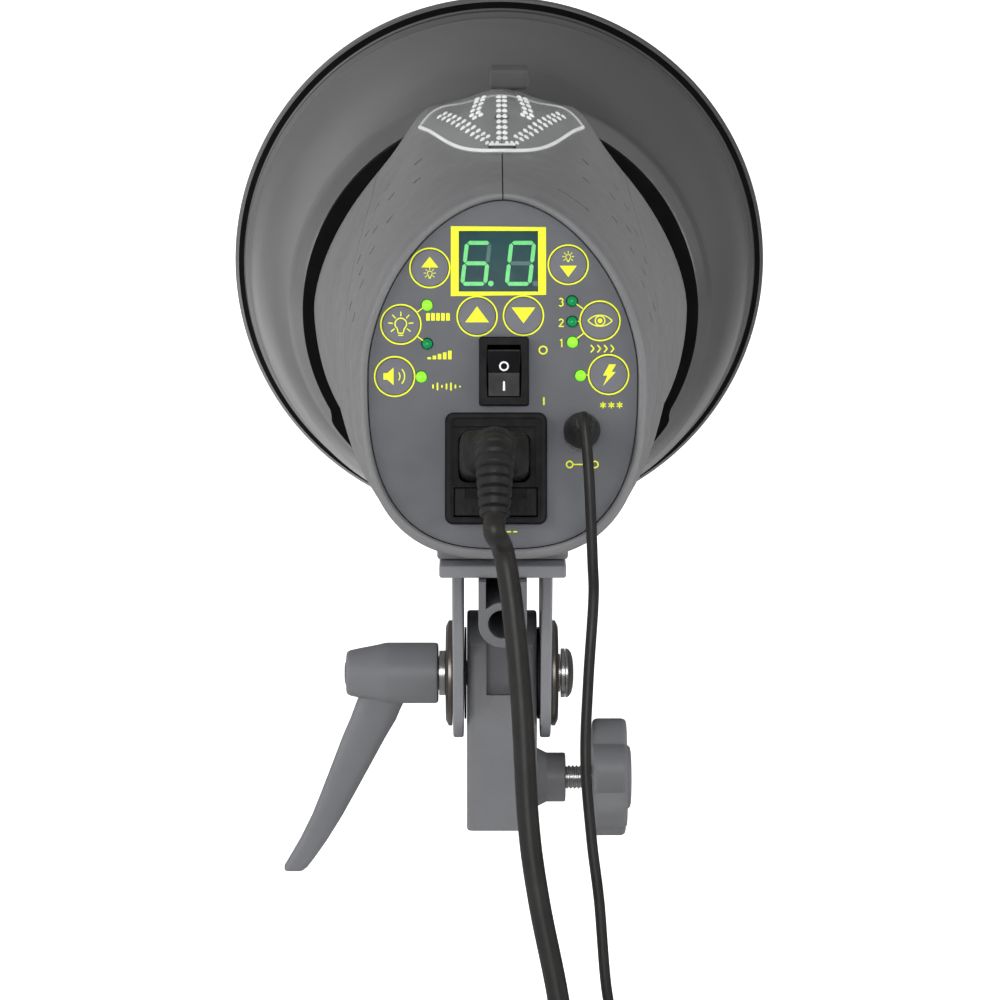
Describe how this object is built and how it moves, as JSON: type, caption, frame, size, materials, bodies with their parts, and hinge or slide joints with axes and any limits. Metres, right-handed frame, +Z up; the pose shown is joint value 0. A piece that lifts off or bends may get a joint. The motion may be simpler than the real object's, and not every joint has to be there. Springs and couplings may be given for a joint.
{
  "type": "monolight strobe",
  "caption": "Compact studio flash head with dish reflector, rear control panel, tilting yoke, umbrella tube, clamping lever and a stand receiver with a star knob.",
  "frame": {"origin": "centre of the blind end face of the stand socket, on the light stand's axis", "axes": "+X to the right seen from behind the head, +Y the way the light goes, +Z up along the stand's axis"},
  "size_m": [0.2092, 0.3674, 0.4266],
  "materials": {
    "body_grey": "fine satin moulded casing",
    "panel_grey": "satin blue-grey moulded panel with printed symbols",
    "cast_grey": "fine textured grey powder coat",
    "moulded_grey": "matt grey glass-filled plastic",
    "black_plastic": "satin black",
    "key_grey": "satin, the panel's colour, printed symbol",
    "display_green": "dark green filter window",
    "washer_steel": "turned steel, warm grey",
    "bright_steel": "bright plated steel",
    "brass": "turned brass",
    "reflector_metal": "satin gun-metal spun aluminium",
    "cord_rubber": "satin black-brown",
    "clear_plastic": "clear prismatic moulding",
    "glass": "clear glass",
    "ceramic": "unglazed white ceramic",
    "board_green": "green solder mask",
    "capacitor_blue": "aluminium can in a blue sleeve"
  },
  "bodies": {
    "receiver": {"receiver": "cast_grey", "friction_disc_left": "black_plastic", "friction_disc_right": "black_plastic", "mains_wall_plug": "cord_rubber", "sync_far_plug": "cord_rubber"},
    "clamp_pad": {"clamp_pad": "brass"},
    "knob": {"clamp_screw": "bright_steel", "star_knob": "moulded_grey"},
    "lever_hub": {"lever_insert": "bright_steel", "lever_screw": "bright_steel", "lever_spring": "bright_steel"},
    "lever": {"lever_handle": "moulded_grey"},
    "rocker": {"power_rocker": "black_plastic"},
    "drawer": {"fuse_drawer": "black_plastic", "fuse": "glass"},
    "latch": {"release_latch": "black_plastic"},
    "reflector": {"reflector": "reflector_metal", "reflector_collar": "reflector_metal"},
    "key_lamp_up": {"key_lamp_up": "key_grey"},
    "key_lamp_down": {"key_lamp_down": "key_grey"},
    "key_lamp_mode": {"key_lamp_mode": "key_grey"},
    "key_power_up": {"key_power_up": "key_grey"},
    "key_power_down": {"key_power_down": "key_grey"},
    "key_slave": {"key_slave": "key_grey"},
    "key_audio": {"key_audio": "key_grey"},
    "key_test": {"key_test": "key_grey"},
    "head": {"bolt_washer": "bright_steel", "capacitor_left": "capacitor_blue", "capacitor_right": "capacitor_blue", "control_board": "board_green", "display_module": "display_green", "flash_tube": "glass", "front_housing": "body_grey", "front_plate": "bright_steel", "lamp_socket": "ceramic", "mains_cord": "cord_rubber", "mains_inlet": "black_plastic", "mains_plug": "cord_rubber", "modelling_lamp": "glass", "mount_ring": "black_plastic", "pivot_bolt": "bright_steel", "power_board": "board_green", "rear_panel": "panel_grey", "rocker_frame": "black_plastic", "shell_left": "body_grey", "shell_right": "body_grey", "slave_lens": "clear_plastic", "slave_sensor": "black_plastic", "spring_washer": "washer_steel", "sync_cord": "cord_rubber", "sync_jack": "black_plastic", "sync_plug": "cord_rubber", "umbrella_holder": "cast_grey", "yoke": "cast_grey", "yoke_screw_front": "bright_steel", "yoke_screw_rear": "bright_steel", "yoke_washer_left": "washer_steel", "yoke_washer_right": "washer_steel"}
  },
  "joints": [
    {"name": "head_tilt", "type": "hinge", "parent": "receiver", "child": "head", "pos_m": [0, 0, 0.01], "axis": [1, 0, 0], "range_deg": [-98, 76], "deforming": ["mains_cord", "sync_cord"]},
    {"name": "lever_turn", "type": "hinge", "parent": "head", "child": "lever_hub", "pos_m": [0, 0, 0.01], "axis": [1, 0, 0], "range_deg": [-40, 100]},
    {"name": "lever_pull", "type": "slide", "parent": "lever_hub", "child": "lever", "axis": [-1, 0, 0], "range_m": [0, 0.004], "stiffness_N_per_m": 900, "springref_m": -0.003, "deforming": ["lever_spring"]},
    {"name": "clamp_slide", "type": "slide", "parent": "receiver", "child": "clamp_pad", "axis": [1, 0, 0], "range_m": [0, 0.0038]},
    {"name": "knob_turn", "type": "hinge", "parent": "clamp_pad", "child": "knob", "pos_m": [0.02, 0, -0.024], "axis": [1, 0, 0], "range_deg": [0, 1080]},
    {"name": "rocker_tilt", "type": "hinge", "parent": "head", "child": "rocker", "pos_m": [0.0003, -0.07496, 0.10467], "axis": [1, 0, 0], "range_deg": [-18, 0]},
    {"name": "drawer_slide", "type": "slide", "parent": "head", "child": "drawer", "axis": [0, -0.9932, 0.1167], "range_m": [0, 0.008]},
    {"name": "latch_slide", "type": "slide", "parent": "head", "child": "latch", "axis": [0, -0.9732, -0.23], "range_m": [0, 0.005], "stiffness_N_per_m": 300, "springref_m": -0.004},
    {"name": "reflector_twist", "type": "hinge", "parent": "head", "child": "reflector", "pos_m": [0, 0.11332, 0.13615], "axis": [0, 0.9732, 0.23], "range_deg": [0, 15]},
    {"name": "key_lamp_up_press", "type": "slide", "parent": "head", "child": "key_lamp_up", "axis": [0, 0.9932, -0.1167], "range_m": [0, 0.0008], "stiffness_N_per_m": 400, "springref_m": -0.001},
    {"name": "key_lamp_down_press", "type": "slide", "parent": "head", "child": "key_lamp_down", "axis": [0, 0.9932, -0.1167], "range_m": [0, 0.0008], "stiffness_N_per_m": 400, "springref_m": -0.001},
    {"name": "key_lamp_mode_press", "type": "slide", "parent": "head", "child": "key_lamp_mode", "axis": [0, 0.9932, -0.1167], "range_m": [0, 0.0008], "stiffness_N_per_m": 400, "springref_m": -0.001},
    {"name": "key_power_up_press", "type": "slide", "parent": "head", "child": "key_power_up", "axis": [0, 0.9932, -0.1167], "range_m": [0, 0.0008], "stiffness_N_per_m": 400, "springref_m": -0.001},
    {"name": "key_power_down_press", "type": "slide", "parent": "head", "child": "key_power_down", "axis": [0, 0.9932, -0.1167], "range_m": [0, 0.0008], "stiffness_N_per_m": 400, "springref_m": -0.001},
    {"name": "key_slave_press", "type": "slide", "parent": "head", "child": "key_slave", "axis": [0, 0.9932, -0.1167], "range_m": [0, 0.0008], "stiffness_N_per_m": 400, "springref_m": -0.001},
    {"name": "key_audio_press", "type": "slide", "parent": "head", "child": "key_audio", "axis": [0, 0.9932, -0.1167], "range_m": [0, 0.0008], "stiffness_N_per_m": 400, "springref_m": -0.001},
    {"name": "key_test_press", "type": "slide", "parent": "head", "child": "key_test", "axis": [0, 0.9932, -0.1167], "range_m": [0, 0.0008], "stiffness_N_per_m": 400, "springref_m": -0.001}
  ],
  "couplings": [
    {"joint": "clamp_slide", "follows": "knob_turn", "m_per_rad": 0.00019894}
  ]
}
